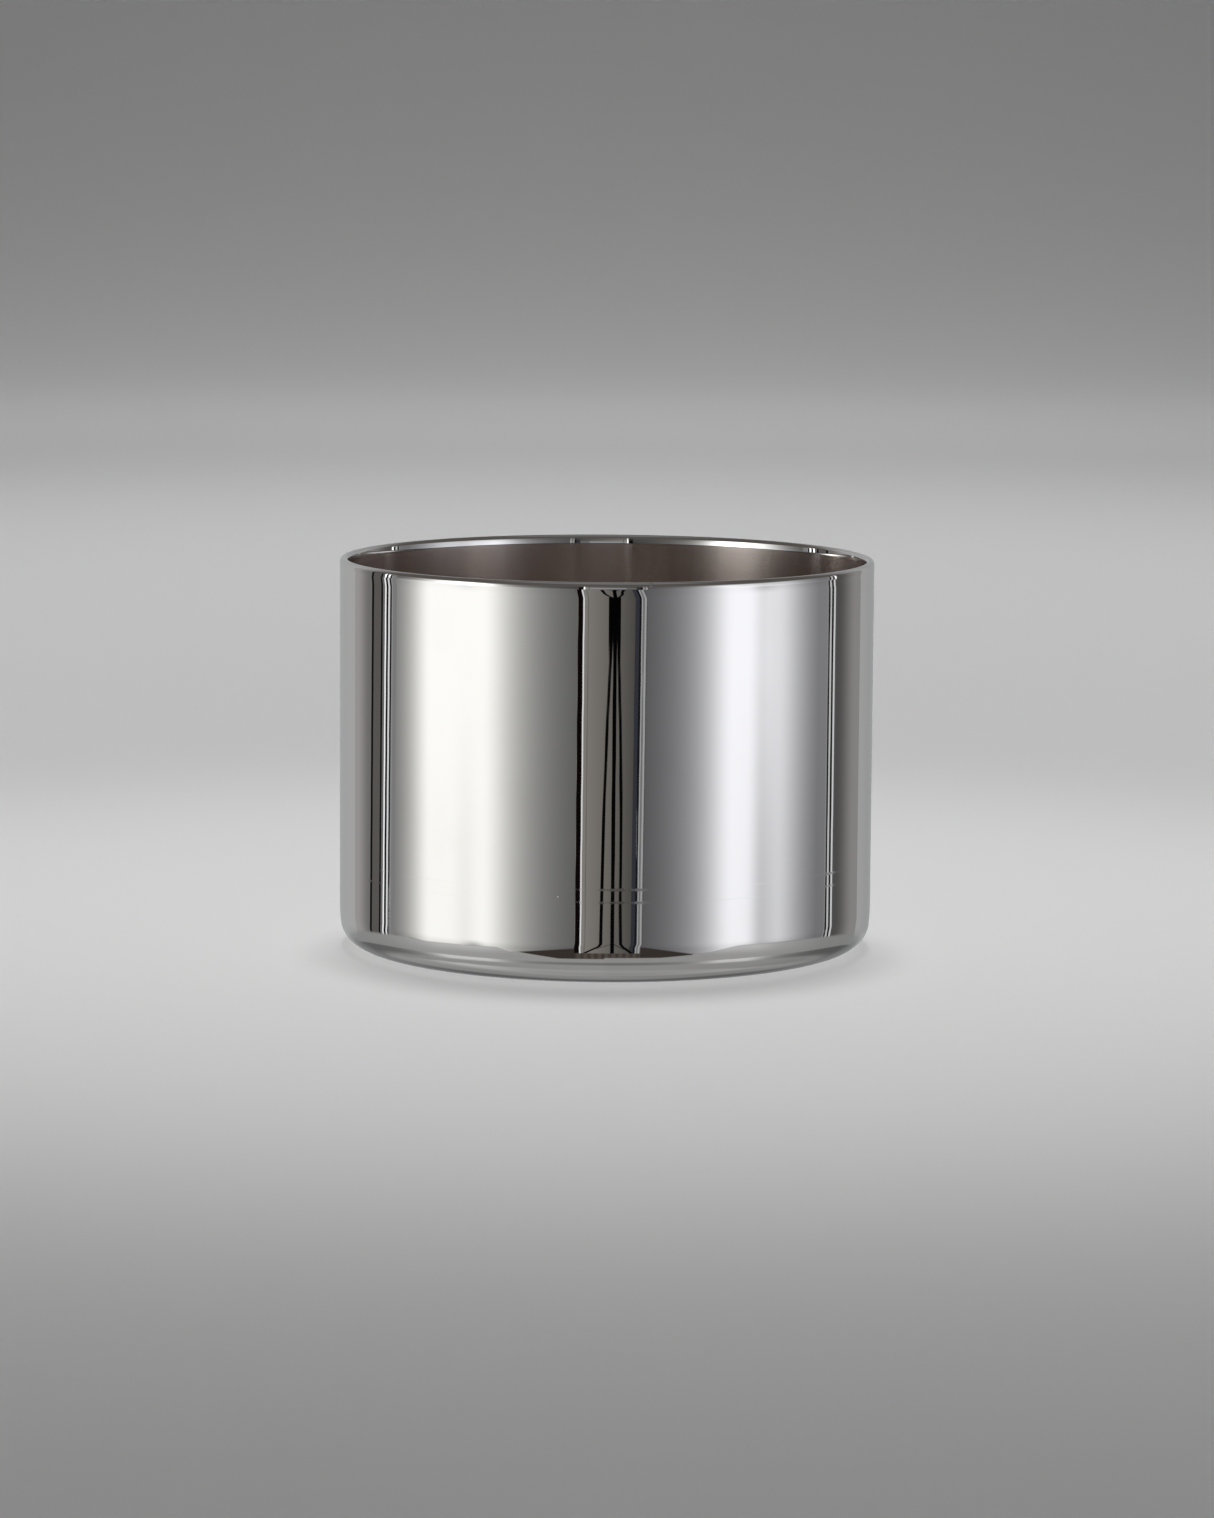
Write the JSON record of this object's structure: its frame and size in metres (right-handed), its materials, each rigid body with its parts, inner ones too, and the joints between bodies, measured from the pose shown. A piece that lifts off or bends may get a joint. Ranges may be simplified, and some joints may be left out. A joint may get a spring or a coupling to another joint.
{
  "type": "candle tin",
  "caption": "Straight-sided round metal candle tin, open and empty, with a rounded base edge, a fine rim rolled inward to a short flange, and a pad in its recessed underside.",
  "frame": {"origin": "middle of the surface that the tin stands on, which is the underside of its base pad", "axes": "+Z is the tin's axis and points up, out of the open mouth; X and Y are any two directions across it, because the tin is a body of revolution"},
  "size_m": [0.0848, 0.0848, 0.0623],
  "materials": {
    "polished_steel": "mirror polished outside, slightly softer inside",
    "silicone_pad": "matte, moulded"
  },
  "bodies": {
    "root": {"tin_cup": "polished_steel", "base_pad": "silicone_pad"}
  },
  "joints": []
}
